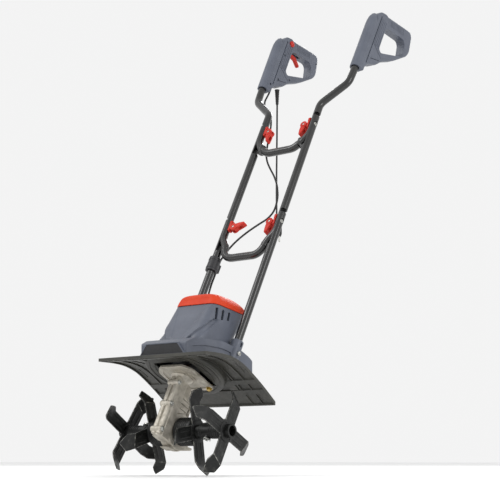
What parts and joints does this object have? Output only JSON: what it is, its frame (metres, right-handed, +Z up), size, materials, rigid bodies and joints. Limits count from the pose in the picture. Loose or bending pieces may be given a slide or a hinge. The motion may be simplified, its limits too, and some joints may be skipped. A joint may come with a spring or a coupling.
{
  "type": "electric garden tiller",
  "caption": "Walk-behind electric tiller: star tines on a worm-driven axle, motor housing over a curved shield, folding tubular handlebar with two D-handles.",
  "frame": {"origin": "middle of the bottom of the box round the standing tiller, its supply cord and plug left out", "axes": "+Z up, +Y back towards the operator, +X across to the right as seen from the front"},
  "size_m": [0.3554, 0.8864, 1.2472],
  "materials": {
    "cast_aluminium": "satin as-cast",
    "blue_grey_plastic": "fine moulded grain",
    "orange_plastic": "smooth moulded",
    "red_plastic": "smooth moulded",
    "black_plastic": "fine moulded grain",
    "shield_plastic": "fine moulded grain",
    "black_tube": "semi-gloss powder coat",
    "black_paint": "worn semi-gloss paint",
    "zinc": "bright zinc plate",
    "brass_screw": "yellow zinc plate",
    "steel": "ground",
    "copper": "wound copper",
    "bronze": "machined",
    "rubber": "matt"
  },
  "bodies": {
    "chassis": {"gearcase_right": "cast_aluminium", "gearcase_left": "cast_aluminium", "case_screw_top": "zinc", "case_screw_middle": "zinc", "case_screw_bottom": "zinc", "motor_flange": "cast_aluminium", "flange_bolt_right": "brass_screw", "flange_bolt_left": "brass_screw", "socket_screw_right": "zinc", "socket_screw_left": "zinc", "stator": "steel", "motor_bearing": "steel", "lower_tube_right": "black_tube", "lower_tube_left": "black_tube", "lower_bolt_right": "zinc", "lower_saddle_right": "red_plastic", "lower_bolt_left": "zinc", "lower_saddle_left": "red_plastic", "cable_clip": "black_plastic", "motor_cable_lower": "rubber", "shield": "shield_plastic", "motor_housing": "blue_grey_plastic", "motor_cap": "orange_plastic", "badge_plate": "black_plastic"},
    "tines": {"tine_shaft": "steel", "worm_wheel": "bronze", "tine_hub_right": "black_paint", "clevis_pin_right": "zinc", "tine_hub_left": "black_paint", "clevis_pin_left": "zinc", "tine_star_outer_right": "black_paint", "tine_star_inner_right": "black_paint", "tine_star_inner_left": "black_paint", "tine_star_outer_left": "black_paint"},
    "motor_shaft": {"rotor": "copper", "cooling_fan": "black_plastic", "worm": "steel"},
    "middle_section": {"middle_bar": "black_tube", "upper_bolt_right": "zinc", "upper_saddle_right": "red_plastic", "upper_bolt_left": "zinc", "upper_saddle_left": "red_plastic"},
    "upper_section": {"upper_bar": "black_tube", "handle_right_outer": "blue_grey_plastic", "handle_right_inner": "blue_grey_plastic", "handle_left_outer": "blue_grey_plastic", "handle_left_inner": "blue_grey_plastic", "trigger_pin": "steel", "switch_block": "black_plastic", "motor_cable_upper": "rubber", "supply_boot": "rubber", "supply_cord": "rubber", "supply_plug": "rubber"},
    "lower_lever_right": {"lower_lever_right": "red_plastic"},
    "lower_lever_left": {"lower_lever_left": "red_plastic"},
    "upper_lever_right": {"upper_lever_right": "red_plastic"},
    "upper_lever_left": {"upper_lever_left": "red_plastic"},
    "trigger": {"trigger": "red_plastic"},
    "lock_button": {"lock_button": "red_plastic"}
  },
  "joints": [
    {"name": "tine_spin", "type": "hinge", "parent": "chassis", "child": "tines", "pos_m": [0, -0.34479, 0.09838], "axis": [1, 0, 0], "continuous": true},
    {"name": "motor_spin", "type": "hinge", "parent": "chassis", "child": "motor_shaft", "pos_m": [0, -0.36152, 0.15241], "axis": [0, 0.4662, 0.8847], "continuous": true},
    {"name": "lower_fold", "type": "hinge", "parent": "chassis", "child": "middle_section", "pos_m": [0, -0.06441, 0.61754], "axis": [1, 0, 0], "range_deg": [0, 145], "deforming": ["motor_cable_lower"]},
    {"name": "upper_fold", "type": "hinge", "parent": "middle_section", "child": "upper_section", "pos_m": [0, 0.08384, 0.89887], "axis": [1, 0, 0], "range_deg": [-145, 0], "deforming": ["motor_cable_upper"]},
    {"name": "lower_lever_right_swing", "type": "hinge", "parent": "chassis", "child": "lower_lever_right", "pos_m": [0.0582, -0.06441, 0.61754], "axis": [0, 0.8847, -0.4662], "range_deg": [0, 105]},
    {"name": "lower_lever_left_swing", "type": "hinge", "parent": "chassis", "child": "lower_lever_left", "pos_m": [-0.0582, -0.06441, 0.61754], "axis": [0, -0.8847, 0.4662], "range_deg": [-100, 5]},
    {"name": "upper_lever_right_swing", "type": "hinge", "parent": "middle_section", "child": "upper_lever_right", "pos_m": [0.0582, 0.08384, 0.89887], "axis": [0, 0.8847, -0.4662], "range_deg": [0, 105]},
    {"name": "upper_lever_left_swing", "type": "hinge", "parent": "middle_section", "child": "upper_lever_left", "pos_m": [-0.0582, 0.08384, 0.89887], "axis": [0, -0.8847, 0.4662], "range_deg": [0, 105]},
    {"name": "trigger_pull", "type": "hinge", "parent": "upper_section", "child": "trigger", "pos_m": [-0.16087, 0.3126, 1.20213], "axis": [0.9997, 0.0122, 0.0232], "range_deg": [0, 14], "stiffness_Nm_per_rad": 0.8},
    {"name": "lock_press", "type": "slide", "parent": "upper_section", "child": "lock_button", "axis": [-0.9997, -0.0122, -0.0232], "range_m": [0, 0.004], "stiffness_N_per_m": 400}
  ],
  "couplings": [
    {"joint": "motor_spin", "follows": "tine_spin", "ratio": 20}
  ]
}
